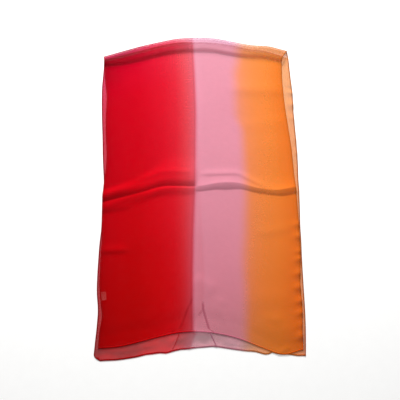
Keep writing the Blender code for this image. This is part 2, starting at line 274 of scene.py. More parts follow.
# Where it is a ridge: gentle towards the fold, then a straight bank down to a crisp foot.
RIDGES = table("across height foot", (PERCENT, MM), [
    (47, 3.6, 13), (57, 4.8, 15), (64, 5.6, 18), (72, 4.3, 14), (80, 4.8, 12.2), (88, 4.6, 12.5),
    (95, 5.8, 16.5), (100, 5, 16),
])
RIDGE_GENTLE = 0.020            # how fast the ridge falls towards the fold
BANK_STRAIGHT = 0.66            # share of the bank that is straight; the rest steepens to the foot
RIDGE_FROM, RIDGE_TO = -0.006, 0.012    # trough turns to ridge this far beside the long crease
CREST_ROUNDING = 0.0008


def pointed(distance, reach):
    """A pressed crease: a crest that falls away straight at first, then ever more gently."""
    rounded = np.sqrt(distance ** 2 + CREST_ROUNDING ** 2) - CREST_ROUNDING
    return np.exp(-rounded / reach)


def flank(distance, crest, low, high):
    """From a sharp line at height low, up to a rounded crest at height high."""
    return blend(low, high, np.sin(np.pi / 2 * np.clip(distance / crest, 0.0, 1.0)))


def trough(across, off):
    """The crease as a trough; off is the distance past its line, below 0 towards the fold."""
    up, down = read(TROUGHS, "up", across), read(TROUGHS, "down", across)
    line = read(TROUGHS, "line_height", across)
    above = flank(-off, up, line, read(TROUGHS, "up_height", across))
    above = above * (1 - soft_step(up, up + read(TROUGHS, "fades", across), -off))
    below = flank(off, down, line, read(TROUGHS, "down_height", across))
    below = below * (1 - soft_step(down, read(TROUGHS, "foot", across), off))
    return np.where(off < 0, above, below)


def ridge(across, off):
    """The crease as a ridge with one gentle and one steep side."""
    share = np.clip(off / read(RIDGES, "foot", across), 0.0, 1.0)
    bank = 1 - BANK_STRAIGHT * share - (1 - BANK_STRAIGHT) * share ** 3
    return read(RIDGES, "height", across) * np.where(off < 0, pointed(off, RIDGE_GENTLE), bank)


def cross_crease(across, along, x):
    """The front half's cross crease: a trough on the left that turns into a ridge."""
    off = (along - cross("front_crease", across)) * HALF_LENGTH
    long_crease = side("front_crease", along)
    turned = soft_step(long_crease + RIDGE_FROM, long_crease + RIDGE_TO, x)
    return blend(trough(across, off), ridge(across, off), turned)


# %% The puckers of the right-hand edge
BACK_PUCKERS = table("along height reach", (PERCENT, MM), [
    (9, 1.6, 7), (12.4, 3, 7), (15.5, 3, 7.5), (19.7, 3.8, 9.5), (24.5, 1.6, 9), (31.5, 2.2, 7.5),
    (36.5, 2, 7),
])
FRONT_PUCKERS = table("along height reach", (PERCENT, MM), [
    (61.1, 2.2, 8), (65, 2.8, 8.5), (69.8, 2, 6.5), (72.3, 2.6, 7.5), (76.7, 3, 8.5), (81, 3.4, 9),
    (85.2, 3.2, 8.5), (88.8, 2.8, 8), (92.5, 1.5, 8), (95.8, 3.6, 10.5),
])
PUCKER_DEPTH = 0.0145           # how far a pucker runs in from the hem
BARE_FROM, BARE_FULL = 0.001, 0.008     # the back half's start just outside the front half's edge


def puckers(rows, across, along):
    """Short waves that run in from the right-hand hem."""
    waves = sum(row.height * bump((along - row.along) * HALF_LENGTH, row.reach) for row in rows)
    return waves * bump((1 - across) * CUT_WIDTH, PUCKER_DEPTH)


# %% Soft creases placed one by one
# Each runs straight from one point to another, with its height and how far it reaches to its left
# and to its right as seen from its start, all in millimetres.
CREASE_COLUMNS = "x0 y0 x1 y1 height left right"
FRONT_CREASES = table(CREASE_COLUMNS, (MM,), [
    # the back half's cross crease, moulded through
    (-150, 22, -95, 42, 1, 9, 7), (-95, 42, -20, 41, 1, 8, 6), (12, 36, 100, 38, 1.5, 10, 5),
    (100, 38, 170, 1, 1.2, 9, 5.5),
    # wrinkles of the left side
    (-240, -62, -175, -50, 1.6, 12, 6), (-242, -166, -178, -163, 2, 12, 7.5),
    (-215, 330, -170, 240, 0.8, 14, 14), (-110, 300, -90, 120, 0.6, 16, 12),
    (-150, -110, -135, -300, 0.7, 18, 14),
    # soft waves of the right side
    (90, 275, 225, 270, 1.6, 20, 15), (100, 170, 235, 185, 0.8, 16, 20),
    (105, -290, 230, -280, 1.1, 28, 28), (160, -330, 200, -335, 1, 12, 12),
    (150, -120, 238, -105, 0.9, 14, 12), (186, -414, 218, -400, 1, 6.5, 6),
    # over and beside the tuck
    (-5, -234, 37, -260, 1.3, 13, 26), (44, -290, 64, -296, 0.8, 12, 20),
    (52, -310, 75, -368, 0.9, 5, 5),
])
BACK_CREASES = table(CREASE_COLUMNS, (MM,), [
    # the tuck: the cloth swells a little between its two pinched folds
    (-15, -285, -50, -375, 0.6, 7, 5), (-50, -375, -64, -408, 0.7, 7, 4),
    (14, -292, 27, -356, 0.6, 5, 7), (27, -356, 44, -400, 0.8, 4, 6),
    # soft hollows of the bare free end
    (-12, -370, 30, -372, 1.4, 12, 8.5), (-190, -412, -100, -392, 1, 4, 5),
    (60, -388, 115, -396, 1, 5, 4),
    # ripples that no one sees until the scarf is lifted
    (-210, 250, -120, 180, 0.7, 12, 12), (60, 230, 190, 200, 0.8, 14, 12),
    (-200, -130, -80, -160, 0.9, 13, 15), (70, -200, 200, -240, 0.8, 14, 12),
])
# The two pinched folds of the tuck and its short fork: how wide each is, how strongly it shows
# through the front half, and its points on the surface in millimetres.
Tuck = namedtuple("Tuck", "width seen points")
TUCKS = {
    "tuck_fold_left": Tuck(0.0012, 0.85, [
        (-15, -285), (-18.3, -296.4), (-25.5, -310.9), (-35, -337.3), (-44.5, -361.1),
        (-53.8, -387.1), (-62, -404)]),
    "tuck_fold_right": Tuck(0.0021, 1, [
        (10.6, -292), (11.2, -310.9), (18, -334.9), (25.4, -358.7), (36.2, -382.4), (43.2, -398.5)]),
    "tuck_fold_fork": Tuck(0.0012, 0.6, [(10.8, -310.9), (5.9, -318.1), (1.1, -325.3)]),
}
CREASE_ENDS = 0.35              # share of its length over which a crease fades at each end


def creases(rows, x, y):
    """All the listed creases of one half, added up."""
    total = np.zeros_like(x)
    for row in rows:
        heading = np.array([row.x1 - row.x0, row.y1 - row.y0])
        length = np.hypot(*heading)
        heading = heading / length
        way = ((x - row.x0) * heading[0] + (y - row.y0) * heading[1]) / length
        off = (y - row.y0) * heading[0] - (x - row.x0) * heading[1]
        ends = [soft_step(-CREASE_ENDS / 2, CREASE_ENDS / 2, place) for place in (way, 1 - way)]
        total += row.height * bump(off, np.where(off > 0, row.left, row.right)) * ends[0] * ends[1]
    return total


# %% Long creases, and the whole relief of each half
LONG_CREASE = {"front": (0.0011, 0.0050), "back": (0.0007, 0.0035)}      # height, reach
BACK_CROSS_CREASE = (0.0012, 0.0110, 0.0060)        # height, reach to the fold, reach to the end
FLAT_BY_FOOT = 0.06             # the share along over which the relief grows from the roll's foot
DRIFT = 0.00018                 # the gentle unevenness of a limp cloth
DRIFT_WAVES = [(31.0, 7.0, 0.3), (-17.0, 23.0, 1.9), (9.0, -38.0, 4.1), (44.0, 26.0, 2.6)]
SETTLED_END, SETTLED_SIDES = 0.0019, 0.0007     # how far the front half sinks by its end and sides
SETTLES_FROM, SETTLES_BY = 0.92, 0.985          # where along it sinks towards its end
EDGE_REACH = 0.012
ROOM = 0.0009                   # least room between the middles of the two layers


def drift(x, y):
    return DRIFT * sum(np.sin(kx * x + ky * y + start) for kx, ky, start in DRIFT_WAVES)


def settled(across, along):
    """How far the front half has settled by its edges, where little air is left under it."""
    end = soft_step(SETTLES_FROM, SETTLES_BY, along)
    sides = bump(np.minimum(across, 1 - across) * CUT_WIDTH, EDGE_REACH)
    return SETTLED_END * end + SETTLED_SIDES * sides * (1 - end)


def from_foot(half, across, along):
    """0 at the roll's foot and 1 a little way on, so that the relief grows from there."""
    foot = cross("roll_foot", across) / half_length(half, across)
    return soft_step(foot, foot + FLAT_BY_FOOT, along)


def long_and_soft(half, rows, along, x, y):
    """The lengthwise crease and the soft creases of one half."""
    height, reach = LONG_CREASE[half]
    return height * pointed(x - side(half + "_crease", along), reach) + creases(rows, x, y)


def front_relief(across, along):
    """How far the front half stands above its resting level."""
    x, y = plan("front", across, along)
    relief = cross_crease(across, along, x) + long_and_soft("front", FRONT_CREASES, along, x, y)
    relief += puckers(FRONT_PUCKERS, across, along) + drift(x, y) - settled(across, along)
    return relief * from_foot("front", across, along)


def back_relief(across, along):
    """How far the back half stands off the surface."""
    x, y = plan("back", across, along)
    height, to_fold, to_end = BACK_CROSS_CREASE
    off = (along - cross("back_crease", across)) * HALF_LENGTH
    relief = height * pointed(off, np.where(off < 0, to_fold, to_end))
    front_edge = side("front_right", along)
    bare = soft_step(front_edge + BARE_FROM, front_edge + BARE_FULL, x)
    relief += puckers(BACK_PUCKERS, across, along) * bare
    relief += long_and_soft("back", BACK_CREASES, along, x, y)
    return np.maximum(relief * from_foot("back", across, along), 0.0)


def back_height(x, y):
    """How high the back half stands at a place on the surface."""
    return BACK_LEVEL + back_relief(*shares_at("back", x, y))


def front_height(across, along):
    """How high the front half stands; it never sinks into the back half."""
    x, y = plan("front", across, along)
    return np.maximum(FRONT_LEVEL + front_relief(across, along), back_height(x, y) + ROOM)


def half_point(half, column, row):
    """A point of the middle of the cloth on one half, as x, y, z arrays."""
    along = along_of(half, row, column)
    across = across_of(half, column, along)
    x, y = plan(half, across, along)
    if half == "front":
        return x, y, front_height(across, along)
    return x, y, BACK_LEVEL + back_relief(across, along)


middle = half_point("front", np.array(0.75), np.array(0.5))
print("the ridge stands", round(float(middle[2]) * 1000, 1), "mm above the surface")

# %% [markdown]
# The roll at the fold
#
# Georgette is too springy to fold flat under its own weight, so the turn stays open as a soft
# roll. Its section is a short table as well: the way back from the fold's edge to the roll's top,
# the way on to its foot, the rise from one layer to the next, and the swell above that.

# %% The roll's section
CREST = 0.75                    # how far round the roll its pressed crest lies
ROLL_HEIGHT = 0.0116            # it sags a little under the top of its solid
ROLL_AT_SIDES = 0.80            # share of the roll's swell left at its two ends
ROLL_END_SHARE = 0.15
LEAVES_BACK, JOINS_FRONT = 0.30, 0.50       # where its sides swap the back half's edges for the front's
TURN_COLUMNS = "way to_top to_foot layer swell"
FAR_SIDE = table(TURN_COLUMNS, (PERCENT,), [
    (0, 100, 100, 0, 0), (8.3, 100, 0, 0, 0), (16.7, 55, 0, 0, 0), (25, 22, 0, 0, 0),
    (33.3, 5, 0, 30, 0), (41.7, 0, 0, 80, 2), (50, 7, 0, 100, 16), (58.3, 32, 0, 100, 42),
    (66.7, 68, 0, 100, 76), (75, 100, 0, 100, 98),
])
NEAR_SIDE = table(TURN_COLUMNS, (PERCENT,), [
    (75, 100, 0, 100, 98), (81, 100, 30, 100, 87), (86, 100, 55, 100, 73), (91, 100, 76, 100, 53),
    (96, 100, 91, 100, 25), (100, 100, 100, 100, 0),
])


def turning(name, way):
    """One measure of the roll's section; its two sides meet in a sharp crest."""
    return np.where(way < CREST, read(FAR_SIDE, name, way), read(NEAR_SIDE, name, way))


def roll_point(column, way):
    """A point of the middle of the cloth on the roll, from the back half round to the front."""
    column, way = np.broadcast_arrays(column, way)
    top = cross("roll_top", column)
    foot = cross("roll_foot", column)
    back = top * turning("to_top", way) + (foot - top) * turning("to_foot", way)
    turned = soft_step(LEAVES_BACK, JOINS_FRONT, way)
    places = {}
    for half in ("back", "front"):
        along = back / half_length(half, column)
        places[half] = plan(half, across_of(half, column, along), along)
    x = blend(places["back"][0], places["front"][0], turned)
    y = blend(places["back"][1], places["front"][1], turned)
    ends = soft_step(0.0, ROLL_END_SHARE, np.minimum(column, 1 - column))
    swell = np.maximum(turning("swell", way), 0.0) * blend(ROLL_AT_SIDES, 1.0, ends)
    layer = np.clip(turning("layer", way), 0.0, 1.0)
    return x, y, BACK_LEVEL + LAYER_RISE * layer + (ROLL_HEIGHT - FRONT_LEVEL) * swell


top_of_roll = roll_point(np.array(0.5), np.array(CREST))
print("the roll stands", round(float(top_of_roll[2]) * 1000, 1), "mm high in the middle")

# %% [markdown]
# From the lay to a mesh
#
# A cloth is a grid of threads, so bmesh's create_grid is the natural start: one flat grid for the
# whole panel, from the back half's free end, round the roll, to the front half's free end. Then
# every point moves to its place. Rows and columns crowd together where the form is fine and spread
# out where it is calm, which is cheaper than making all of it fine.

# %% Rows and columns of the grid
def divisions(start, *runs):
    """Shares at which a grid is divided: each run goes on to its end in so many even steps."""
    shares = [start]
    for end, steps in runs:
        shares += [blend(shares[-1], end, (step + 1) / steps) for step in range(steps)]
    return np.array(shares)


COLUMNS = divisions(0.0, (0.02, 4), (0.40, 24), (0.452, 8), (0.488, 14), (0.56, 9), (0.88, 20),
                    (1.0, 21))
BACK_ROWS = divisions(1.0, (0.97, 8), (0.84, 34), (0.54, 24), (0.46, 22), (0.26, 12), (0.10, 30),
                      (0.0, 6))
ROLL_ROWS = divisions(0.0, (0.30, 8), (0.60, 22), (CREST, 8), (1.0, 16))
FRONT_ROWS = divisions(0.0, (0.06, 10), (0.40, 34), (0.47, 18), (0.53, 32), (0.60, 12), (0.96, 84),
                       (1.0, 12))


def whole_cloth(columns):
    """The middle of the cloth at every row: x, y, z, and the length run since the first row."""
    blocks = [
        half_point("back", columns[None, :], BACK_ROWS[:, None]),
        roll_point(columns[None, :], ROLL_ROWS[1:, None]),
        half_point("front", columns[None, :], FRONT_ROWS[1:, None]),
    ]
    points = np.concatenate([np.stack(block, axis=-1) for block in blocks])
    steps = np.linalg.norm(np.diff(points, axis=0), axis=-1)
    run = np.concatenate([np.zeros((1, len(columns))), np.cumsum(steps, axis=0)])
    return points, run


points, run = whole_cloth(COLUMNS)
print("grid of", points.shape[0], "rows by", points.shape[1], "columns")
print("length along the middle:", round(float(run[-1, len(COLUMNS) // 2]), 4), "m")

# %% Keeping a finished mesh as a piece
def as_object(name, mesh, material):
    """Turn a finished bmesh into an object of the scene."""
    data = bpy.data.meshes.new(name)
    mesh.to_mesh(data)
    mesh.free()
    data.materials.append(material)
    made = bpy.data.objects.new(name, data)
    bpy.context.scene.collection.objects.link(made)
    return made


def keep(name, mesh, material, thickness=0.0):
    """Make a piece that rides on the scarf's one body; a sheet is thickened to a closed shell."""
    for face in mesh.faces:
        face.smooth = True
    piece = as_object(name, mesh, material)
    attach(piece, "root")
    if thickness:
        shell = piece.modifiers.new("Thickness", "SOLIDIFY")
        shell.thickness = thickness
        shell.offset = 0.0
    return piece


def laid_grid(points):
    """A grid from create_grid, each vertex moved to its row's and column's point."""
    rows, columns = points.shape[:2]
    mesh = bmesh.new()
    bmesh.ops.create_grid(mesh, x_segments=columns - 1, y_segments=rows - 1, size=0.5)
    mesh.verts.index_update()
    places = []
    for vertex in mesh.verts:
        column = round((vertex.co.x + 0.5) * (columns - 1))
        row = round((vertex.co.y + 0.5) * (rows - 1))
        places.append((row, column))
        vertex.co = points[row, column]
    return mesh, places


def write_shares(mesh, places, name, shares):
    """Give every vertex its own number from a grid of them."""
    layer = mesh.verts.layers.float.new(name)
    for vertex in mesh.verts:
        vertex[layer] = shares[places[vertex.index]]


def write_cut(mesh, places, across, along):
    """Give every corner its place on the cut, in metres, as the UV map that the dyes follow."""
    layer = mesh.loops.layers.uv.new("cut")
    for face in mesh.faces:
        for corner in face.loops:
            row, column = places[corner.vert.index]
            corner[layer].uv = (across[row, column], along[row, column])


# %% Where the cloth lies round the roll, and where alone
# painted highlight: the roll's far side faces the light and gets this share of one layer's paler colour
ROLL_FAR_HIGHLIGHT = 0.65               # how far the roll's far side looks like a single layer
COVERED = 0.020                 # the share in from the front half's edge where two layers are full


def round_the_roll():
    """How far round the roll each point lies: 0 on the back half, 1 on the front."""
    way = np.concatenate([np.zeros(len(BACK_ROWS) - 1), ROLL_ROWS, np.ones(len(FRONT_ROWS) - 1)])
    return np.broadcast_to(way[:, None], run.shape)


def lying_alone():
    """How far each point's layer lies alone, with nothing over or under it: 1 is wholly."""
    back = len(BACK_ROWS)
    across, along = shares_at("front", points[:back, :, 0], points[:back, :, 1])
    alone = np.zeros(run.shape)
    alone[:back] = 1 - soft_step(0.0, COVERED, np.minimum(np.minimum(across, 1 - across), 1 - along))
    # the roll's far side lies over its underside, but is painted paler as a highlight
    far_side = np.where(ROLL_ROWS[1:, None] < CREST, ROLL_FAR_HIGHLIGHT, 0.0)
    alone[back:back + len(far_side)] = far_side
    return alone


shares_of_points = {"turn": round_the_roll(), "alone": lying_alone()}
print("share of the cloth that lies alone:", round(float(shares_of_points["alone"].mean()), 2))

# %% [markdown]
# The finish: dyed, sheer crepe
#
# Three things make georgette look like georgette. The dye runs in lengthwise bands that bleed
# softly into each other. The cloth is see-through, so one layer is pale and two are deep. And the
# twisted yarns give a dry, pebbly surface with a faint sheen. The dyes are a colour ramp over the
# place across the cut, read from the UV map, so they follow the cloth round every fold.
# See-through is the shader's own alpha. A closed shell is crossed twice, at its top and at its
# underside, so each surface gets the alpha that makes the two together come out right.

# %% Dyes across the cut
def stops(*rows):
    """A ramp's stops from percents: each row is a place and a grey, or a place and a colour."""
    return [tuple(value / PERCENT for value in row) for row in rows]


def both_ways(*rows):
    """The same stops, mirrored about the fold in the middle of the cut."""
    half = stops(*rows)
    return half + [(1 - place, value) for place, value in reversed(half) if place < 0.5]


# each dye's column, its red, green and blue, and the share of the light that one layer stops
DYE_COLUMNS = "column red green blue cover"
RED_TO_PINK = table(DYE_COLUMNS, (PERCENT,), [
    (0, 57, 0, 1.4, 80), (4.2, 65.5, 0, 1.8, 79.5), (10.7, 71, 0, 2.2, 79),
    (17.2, 74.5, 0.1, 2.7, 78.5), (23.7, 79, 0.8, 4, 78), (30.2, 82, 1.8, 5.3, 77.5),
    (36.7, 85, 4.4, 8.3, 76.5), (42, 87, 11.3, 14.8, 74.5), (45.5, 83.5, 15.8, 21.2, 72.5),
    (46.5, 75, 14.6, 19.8, 72), (47, 81, 21.5, 30, 70.5), (47.7, 86, 33.5, 44.5, 69),
    (48.6, 89, 40.5, 53, 69), (52, 85.5, 39, 50.5, 69), (100, 86, 38.5, 47, 69),
])
ORANGES = table(DYE_COLUMNS, (PERCENT,), [
    (70, 90, 35.5, 21.5, 70), (76, 93, 34.5, 13.3, 70), (82.3, 94, 33.5, 8.4, 69.5),
    (89.4, 94, 31.5, 5.5, 69), (96.6, 92, 26.2, 2.6, 68), (100, 86, 22.5, 1.6, 68),
])
BLEED_MIDDLE = (0.712, 0.732)       # where pink turns to orange: at the fold, at the ends
BLEED_WIDTH = (0.052, 0.038)        # half the width of that bleed: at the fold, at the ends
BLEED_REACH = 0.1                   # how far in all its middle wanders along the cut
BLEED_WANDERS = stops(
    (0, 34), (5, 44), (30, 50), (45, 55), (50, 60), (54.5, 64), (58.5, 33), (65.5, 20), (68.5, 47),
    (79, 50), (84, 44), (89, 38), (94, 45), (100, 45))


def new_material(name):
    """An empty node material with its Principled shader joined to the output."""
    material = bpy.data.materials.new(name)
    material.use_nodes = True
    tree = material.node_tree
    return material, tree, tree.nodes["Principled BSDF"]


def feed(tree, node, values):
    """Feed a node's inputs: a socket is linked, a plain value is set."""
    for name, value in values.items():
        if isinstance(value, bpy.types.NodeSocket):
            tree.links.new(value, node.inputs[name])
        else:
            node.inputs[name].default_value = value


def add(tree, kind, label, values, **settings):
    """Add a node, set its properties and feed its inputs."""
    made = tree.nodes.new(kind)
    made.label = label
    for name, value in settings.items():
        setattr(made, name, value)
    feed(tree, made, values)
    return made


def ramp(tree, label, position, through, blending="LINEAR"):
    """A ramp through its stops; a single number after the place stands for a grey."""
    made = add(tree, "ShaderNodeValToRGB", label, {"Fac": position})
    made.color_ramp.interpolation = blending
    elements = made.color_ramp.elements
    while len(elements) < len(through):
        elements.new(0.5)
    for element, (place, *colour) in zip(elements, through):
        element.position = place
        element.color = (*(colour * 3)[:3], 1.0)
    return made.outputs["Color"]


def sums(tree, label, first, scale, offset=0.0):
    """A number times a scale, plus an offset; each may be a value or a socket."""
    made = add(tree, "ShaderNodeMath", label, {0: first, 1: scale, 2: offset},
               operation="MULTIPLY_ADD")
    return made.outputs[0]


def mixed(tree, label, share, first, second):
    """One colour over another."""
    made = add(tree, "ShaderNodeMixRGB", label, {"Fac": share, "Color1": first, "Color2": second})
    return made.outputs["Color"]


def times(tree, label, first, second):
    """One colour multiplied by another."""
    made = add(tree, "ShaderNodeMixRGB", label, {"Fac": 1.0, "Color1": first, "Color2": second},
               blend_type="MULTIPLY")
    return made.outputs["Color"]


def bumped(tree, label, height, strength, distance, **under):
    """A relief in the shading; under may be the relief that it is laid over."""
    made = add(tree, "ShaderNodeBump", label,
               {"Height": height, "Strength": strength, "Distance": distance, **under})
    return made.outputs[0]


def cut_place(tree):
    """The place on the cut in metres, its share across, its distance and its share along."""
    cut = add(tree, "ShaderNodeUVMap", "Place on the cut", {}, uv_map="cut").outputs[0]
    across, along, _ = add(tree, "ShaderNodeSeparateXYZ", "Across and along", {0: cut}).outputs
    return (cut, sums(tree, "Share across", across, 1 / CUT_WIDTH), along,
            sums(tree, "Share along", along, 1 / CUT_LENGTH))


# each noise's grains to the metre across and along the cut, its detail and its roughness
NOISES = {
    "Bleed of the dyes": (26.0, 6.0, 2.0, 0.5),
    "Warp streaks": (380.0, 22.0, 2.0, 0.6),
    "Weft streaks": (30.0, 380.0, 2.0, 0.6),
    "Blotches": (26.0, 70.0, 2.0, 0.5),
    "Thick and thin": (60.0, 60.0, 3.0, 0.5),
    "Crepe pebbles": (1150.0, 1150.0, 2.0, 0.6),
    "Crepe crinkle": (338.0, 260.0, 3.0, 0.5),
    "Rolled threads": (420.0, 900.0, 2.0, 0.6),
    "Plies": (2500.0, 2500.0, 1.0, 0.5),
}


def noise(tree, label, place):
    """One of the noises, stretched over the cut."""
    across, along, detail, roughness = NOISES[label]
    mapping = add(tree, "ShaderNodeMapping", label + " size",
                  {"Vector": place, "Scale": (across, along, 1.0)})
    made = add(tree, "ShaderNodeTexNoise", label, {
        "Vector": mapping.outputs[0], "Scale": 1.0, "Detail": detail, "Roughness": roughness},
        noise_dimensions="2D")
    return made.outputs["Fac"]


print("stops of the dyes:", len(RED_TO_PINK), "from red to pink,", len(ORANGES), "of orange")

# %% The dyed colour
WHITE = (1.0, 1.0, 1.0, 1.0)
FROM_FOLD = both_ways((0, 100), (32, 95), (40, 75), (50, 0))
# painted shade: towards both free ends, away from the light over the fold, the colour deepens and
# darkens
SHADE_DEEPENS_ALONG = both_ways(
    (0, 100), (5, 100), (10, 80), (15, 60), (21, 48), (25, 38), (31, 28), (35, 25), (39, 20),
    (42, 10), (46, 0))
SHADE_DARKENS_ALONG = both_ways((0, 100), (6, 55), (14, 30), (22, 18), (32, 0))
END_SHADE_COLOUR = stops(
    (0, 97), (36, 94), (42, 86), (50, 86, 87, 80), (66, 86, 88, 80), (76, 86, 92, 72),
    (100, 87, 95, 69))
WATERED = stops((0, 10), (12, 35), (30, 100), (44, 80), (48, 25), (100, 15))
# painted shade: how strongly each column's colour is deepened towards the ends
SHADE_DEEPENS_ACROSS = stops(
    (0, 65), (10, 80), (20, 100), (40, 100), (43, 84), (46.6, 55), (47.5, 30), (100, 30))
DYE_WOBBLE = 0.006                  # how far, as a share across, the dyes' edges wobble
WATERED_DEPTH = 0.24                # how much lighter and darker the weave makes them
# painted light: where one layer lies alone its colour is made paler, for the lit paper under it
ALONE_PAINTED_LIGHT = 0.30                  # how much paler the dye looks where one layer lies alone
SALMON = (0.80, 0.06, 0.10, 1.0)    # the red that ran across the crease by the tuck
SALMON_ACROSS = stops((42.5, 0), (45, 80), (46.85, 80), (46.9, 0))
SALMON_ALONG = stops((3, 0), (8, 100), (17, 100), (26, 0))


def to_orange(tree, moved, ends, length_share):
    """How far the pink has turned to orange: a soft step whose place and width drift."""
    wander = ramp(tree, "Bleed wanders", length_share, BLEED_WANDERS, "EASE")
    middle = sums(tree, "Middle of the bleed", ends, BLEED_MIDDLE[1] - BLEED_MIDDLE[0],
                  sums(tree, "Wander", wander, BLEED_REACH, BLEED_MIDDLE[0] - BLEED_REACH / 2))
    width = sums(tree, "Width of the bleed", ends, BLEED_WIDTH[1] - BLEED_WIDTH[0], BLEED_WIDTH[0])
    step = add(tree, "ShaderNodeMapRange", "Pink to orange",
               {"Value": moved, "From Min": sums(tree, "Bleed from", width, -1.0, middle),
                "From Max": sums(tree, "Bleed to", width, 1.0, middle)},
               interpolation_type="SMOOTHSTEP")
    return step.outputs["Result"]


def dyed_colour(tree, place, strength, alone=0.0):
    """The three dyes across the cut, watered by the weave, with painted shade deepening both ends."""
    cut, share, _, length_share = place
    bleed = noise(tree, "Bleed of the dyes", cut)
    moved = sums(tree, "Dye position", bleed, DYE_WOBBLE,
                 sums(tree, "Middle", share, 1.0, -DYE_WOBBLE / 2))
    ends = ramp(tree, "From the fold on", length_share, FROM_FOLD)
    dyes = mixed(tree, "Three dyes", to_orange(tree, moved, ends, length_share),
                 ramp(tree, "Red to pink", moved, [row[:4] for row in RED_TO_PINK]),
                 ramp(tree, "Oranges", moved, [row[:4] for row in ORANGES]))
    salmon = sums(tree, "Salmon run", ramp(tree, "Run across", share, SALMON_ACROSS),
                  ramp(tree, "Run along", length_share, SALMON_ALONG))
    # painted light: paler colour where one layer lies alone
    single = sums(tree, "Painted light of one layer", alone, -ALONE_PAINTED_LIGHT, 1.0)
    # painted shade: the colour deepens towards both ends, most in the red
    taken = sums(tree, "Gamma from painted shade and light", ramp(tree, "Painted shade from the fold on", length_share, SHADE_DEEPENS_ALONG),
                 ramp(tree, "Painted shade across", share, SHADE_DEEPENS_ACROSS), single)
    deeper = add(tree, "ShaderNodeGamma", "Dye deepened",
                 {"Color": mixed(tree, "Run of red", salmon, dyes, SALMON), "Gamma": taken})
    # painted shade: both ends darkened
    darker = mixed(tree, "Darker ends", ramp(tree, "Darker towards the ends", length_share, SHADE_DARKENS_ALONG),
                   WHITE, ramp(tree, "Darkest end", share, END_SHADE_COLOUR))
    streaks = mixed(tree, "Warp streaks by the fold, weft streaks beyond", ends,
                    noise(tree, "Warp streaks", cut), noise(tree, "Weft streaks", cut))
    where = sums(tree, "Where it shows", ramp(tree, "Watered zone", share, WATERED),
                 WATERED_DEPTH * strength)
    value = sums(tree, "Watered value", sums(tree, "Light and dark", streaks, 1.0, -0.5), where, 1.0)
    return times(tree, "Watered", times(tree, "Deep dye", deeper.outputs[0], darker), value)


# %% Painted light and shade of the folded cloth
# Round the roll the far side, from the underside's turn up to the crest, faces the light: its cover
# is lowered and it is painted paler as a highlight, with a painted dark line at its outer edge, where
# we look along the cloth. Past the crest the near side gets painted shade and light, and the front
# half by the roll's foot a painted shadow. Each table runs round the roll: one for its left end, one
# for the red, one for the rest.
ROLL_LIGHT_COVER = stops(
    (0, 100), (7, 100), (9, 58), (33, 60), (39, 125), (51, 120), (56, 62), (74, 58), (75.3, 100),
    (100, 100))
ROLL_SHADES = {
    "left": stops(
        (33, 100, 100, 100), (38, 34, 40, 50), (51, 36, 45, 55), (56, 72, 100, 130),
        (74.4, 90, 130, 170), (75.2, 54, 20, 50), (80, 66, 40, 70), (86, 115, 80, 100),
        (91, 135, 90, 100), (100, 100, 100, 100)),
    "red": stops(
        (33, 100, 100, 100), (38, 50, 45, 52), (51, 52, 50, 57), (56, 86, 88, 92),
        (74.4, 98, 92, 97), (75.2, 60, 10, 22), (77.5, 62, 18, 32), (80, 72, 35, 48),
        (84, 85, 60, 70), (88, 88, 62, 70), (92, 80, 45, 50), (96, 78, 50, 55), (100, 97, 90, 90)),
    "pale": stops(
        (33, 100, 100, 100), (38, 50, 45, 52), (51, 55, 54, 62), (56, 88, 84, 96),
        (74.4, 102, 90, 100), (75.2, 78, 56, 62), (77.5, 82, 62, 67), (80, 89, 76, 80),
        (84, 104, 97, 97), (88, 114, 103, 103), (92, 103, 87, 88), (96, 96, 80, 82),
        (100, 100, 95, 95)),
}
# painted shadow of the roll where the front half leaves it, by the share along
FOOT_SHADES = {
    "left": stops((50.8, 100), (51.9, 68), (53, 68), (54.5, 80), (57.5, 100)),
    "red": stops((51.2, 100), (52.4, 80), (53.8, 100)),
}
# where across the left end's tables hold, and where the pale ones do
ROLL_LEFT = stops((0, 100), (10, 90), (25, 0))
ROLL_PALE = stops((44, 0), (47.5, 100))
# painted light and shade of one layer over the paper, across the cut
ALONE_SHADES = stops(
    (0, 94, 100, 140), (5, 96, 100, 140), (12, 90, 100, 130), (46, 90, 100, 120),
    (48, 100, 100, 100), (75, 90, 92, 100), (100, 87, 84, 105))
# the bare free end gets a painted shadow of the front half's edge a few centimetres in, is painted
# lighter by its own hem and has blotches of painted shade for its small waves; its shades, its
# reach and its blotches go by the centimetres from the end, and the second table goes across it
BARE_END = stops(
    (0, 100, 92, 92), (0.6, 102, 92, 92), (1.2, 90, 80, 80), (1.8, 76, 66, 66), (2.5, 69, 59, 59),
    (3.2, 74, 64, 64), (5, 82, 72, 72), (6.5, 100, 100, 100))
BARE_ACROSS = stops(
    (0, 110), (7, 115), (13, 95), (20, 92), (25, 126), (36, 124), (42, 96), (48, 90), (60, 92),
    (70, 100), (100, 100))
BARE_REACH = stops((3, 100), (6, 0))
BLOTCHED = stops((0, 35), (2, 80), (5, 50), (9, 0))
# the tuck's folds are three layers thick; their shade through the front half is painted into
# its colour as darker lines
TUCK_SHADE = (0.72, 0.46, 0.53, 1.0)
TUCK_SEEN_WIDTH = 0.0048
TUCK_SCALE = 20.0                   # turns a small distance across into a ramp's place
TUCK_FADES = 0.010                  # metres over which a line fades in at its head
FADE = 0.001


